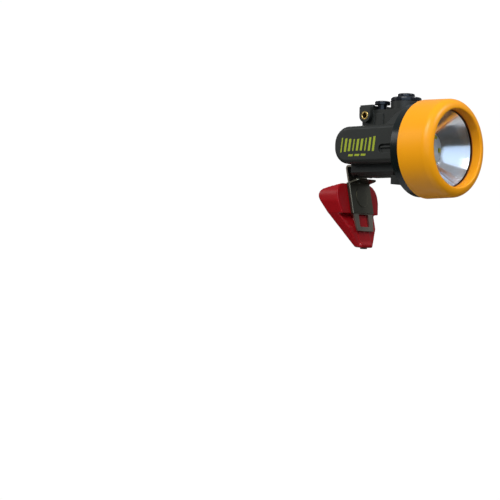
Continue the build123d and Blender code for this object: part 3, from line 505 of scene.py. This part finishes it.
def make_materials():
    """One material for each slot of the record."""
    materials = {name: moulded_plastic(name, **look) for name, look in PLASTICS.items()}
    for name, look in METALS.items():
        materials[name] = brushed_metal(name, **look)
    gloss_drum(materials["housing_black"])
    materials["reflector_mirror"] = mirror_material()
    materials["lens_clear"] = lens_material()
    return materials


def paint_frame():
    """Every CAD node takes the material of its slot."""
    for entry in frame["record"]["subparts"]:
        node = nodes[entry["node"]]
        node.data.materials.clear()
        node.data.materials.append(MATERIALS[entry["material_slot"]])


# ---------------------------------------------------------------- generic print on both sides
def add_mark(mesh, corners, side):
    """Adds one flat raised mark with a chamfered edge: corners are (y, z), side is -1 or 1 along X."""
    middle_y = sum(corner[0] for corner in corners) / len(corners)
    middle_z = sum(corner[1] for corner in corners) / len(corners)
    foot_x = side * (BODY_HALF_W + PRINT_GAP)
    rings = []
    for inset, x in ((0.0, foot_x), (PRINT_CHAMFER, foot_x + side * PRINT_THICKNESS)):
        ring = []
        for y, z in corners:
            keep = 1 - inset / math.hypot(y - middle_y, z - middle_z)
            ring.append(mesh.verts.new((x, middle_y + (y - middle_y) * keep, middle_z + (z - middle_z) * keep)))
        rings.append(ring)
    foot, top = rings
    count = len(corners)
    mesh.faces.new(top)
    for k in range(count):
        after = (k + 1) % count
        mesh.faces.new((foot[k], foot[after], top[after], top[k]))


def add_slanted(mesh, side, middle, half, low, high, lean):
    """Adds a mark with a level foot and top, which leans towards the bezel."""
    add_mark(mesh, [(middle + half, low), (middle - half, low),
                    (middle - half - lean, high), (middle + half - lean, high)], side)


def add_print(side):
    """A row of slanted bars above a broken line, pad-printed on one side of the body."""
    mesh = bmesh.new()
    length = PRINT_REAR - PRINT_FRONT
    pitch = length / BARS
    for k in range(BARS):
        outer = abs(2 * (k + 0.5) / BARS - 1) ** 2
        half = pitch * (BAR_WIDE if k % 3 else BAR_NARROW)
        low = PRINT_BASE - BAR_DIP * outer
        high = low + BAR_TALL + BAR_EXTRA * outer
        add_slanted(mesh, side, PRINT_REAR - pitch * (k + 0.5), half, low, high, BAR_LEAN)
    dash = length * DASH_SHARE
    for k in range(DASHES):
        middle = (PRINT_REAR + PRINT_FRONT) / 2 + (1 - k) * dash * DASH_PITCH
        add_slanted(mesh, side, middle, dash / 2, PRINT_BASE - DASH_LOW, PRINT_BASE - DASH_HIGH, DASH_LEAN)
    bmesh.ops.recalc_face_normals(mesh, faces=mesh.faces)
    name = "side_print_left" if side < 0 else "side_print_right"
    data = bpy.data.meshes.new(name)
    mesh.to_mesh(data)
    mesh.free()
    data.materials.append(MATERIALS["print_green"])
    piece = bpy.data.objects.new(name, data)
    bpy.context.scene.collection.objects.link(piece)
    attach(piece, "lamp")


# ---------------------------------------------------------------- bracket with rounded edges
def add_bracket():
    """The bracket as moulded: the CAD solid remeshed finely, its edges relaxed to soft radii."""
    solid = nodes["helmet_bracket"]
    data = solid.data.copy()
    data.name = "bracket_moulding"
    piece = bpy.data.objects.new("bracket_moulding", data)
    piece.matrix_world = solid.matrix_world
    bpy.context.scene.collection.objects.link(piece)
    remesh = piece.modifiers.new("remesh", "REMESH")
    remesh.mode = "VOXEL"
    remesh.voxel_size = VOXEL
    relax = piece.modifiers.new("relax", "SMOOTH")
    relax.factor = RELAX_FACTOR
    relax.iterations = RELAX_PASSES
    fewer = piece.modifiers.new("fewer", "DECIMATE")
    fewer.ratio = KEPT_SHARE
    bpy.context.view_layer.update()
    evaluated = piece.evaluated_get(bpy.context.evaluated_depsgraph_get())
    shape = bpy.data.meshes.new_from_object(evaluated)
    piece.modifiers.clear()
    piece.data = shape
    shape.materials.clear()
    shape.materials.append(MATERIALS["bracket_red"])
    for face in shape.polygons:
        face.use_smooth = True
    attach(piece, "bracket")
    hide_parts("helmet_bracket")


MATERIALS = make_materials()
add_camera()
add_studio()
paint_frame()
add_bracket()
for side in (-1, 1):
    add_print(side)
bpy.context.scene.view_settings.view_transform = "Standard"
